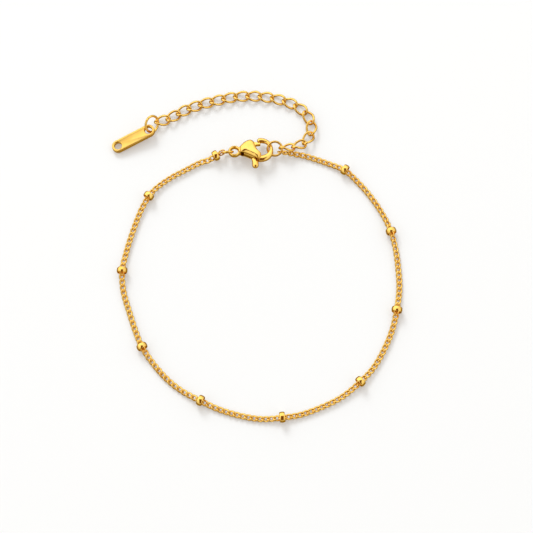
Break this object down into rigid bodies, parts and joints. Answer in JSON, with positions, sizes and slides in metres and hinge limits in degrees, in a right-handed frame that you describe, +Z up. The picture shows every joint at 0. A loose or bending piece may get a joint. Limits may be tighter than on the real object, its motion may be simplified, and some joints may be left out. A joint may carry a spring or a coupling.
{
  "type": "bracelet",
  "caption": "Fine gold-coloured curb chain bracelet with rondelle beads, a sprung lobster clasp, an extender of open curb links and a small plain tag.",
  "frame": {"origin": "middle of the lying bracelet's box, on the surface it lies on", "axes": "+Z up from the surface, +Y towards the extender and the clasp, +X to the right seen from above"},
  "size_m": [0.0574, 0.0694, 0.0031],
  "materials": {
    "clasp": "polished gold plating",
    "lever": "gold plating, a little less polished",
    "links": "polished gold-plated wire",
    "chain": "polished gold-plated fine links",
    "beads": "mirror-polished gold plating",
    "tag": "satin gold plating"
  },
  "bodies": {
    "bracelet": {"curb_chain": "chain", "bead_01": "beads", "bead_02": "beads", "bead_03": "beads", "bead_04": "beads", "bead_05": "beads", "bead_06": "beads", "bead_07": "beads", "bead_08": "beads", "bead_09": "beads", "bead_10": "beads", "chain_end_link_clasp": "links", "chain_end_link_ring": "links", "clasp_ring": "links", "clasp_body": "clasp", "clasp_pin": "clasp", "junction_ring": "links", "extender_link_01": "links", "extender_link_02": "links", "extender_link_03": "links", "extender_link_04": "links", "extender_link_05": "links", "extender_link_06": "links", "extender_link_07": "links", "extender_link_08": "links", "extender_link_09": "links", "extender_link_10": "links", "extender_link_11": "links", "extender_link_12": "links", "extender_link_13": "links", "extender_link_14": "links", "extender_link_15": "links", "extender_link_16": "links", "extender_link_17": "links", "extender_link_18": "links", "tag_ring": "links", "tag": "tag"},
    "lever": {"clasp_lever": "lever"}
  },
  "joints": [
    {"name": "lever_hinge", "type": "hinge", "parent": "bracelet", "child": "lever", "pos_m": [-0.00092, 0.02165, 0.00151], "axis": [0.0109, -0.1387, -0.9903], "range_deg": [0, 26], "stiffness_Nm_per_rad": 0.003, "springref_deg": -20.05}
  ]
}
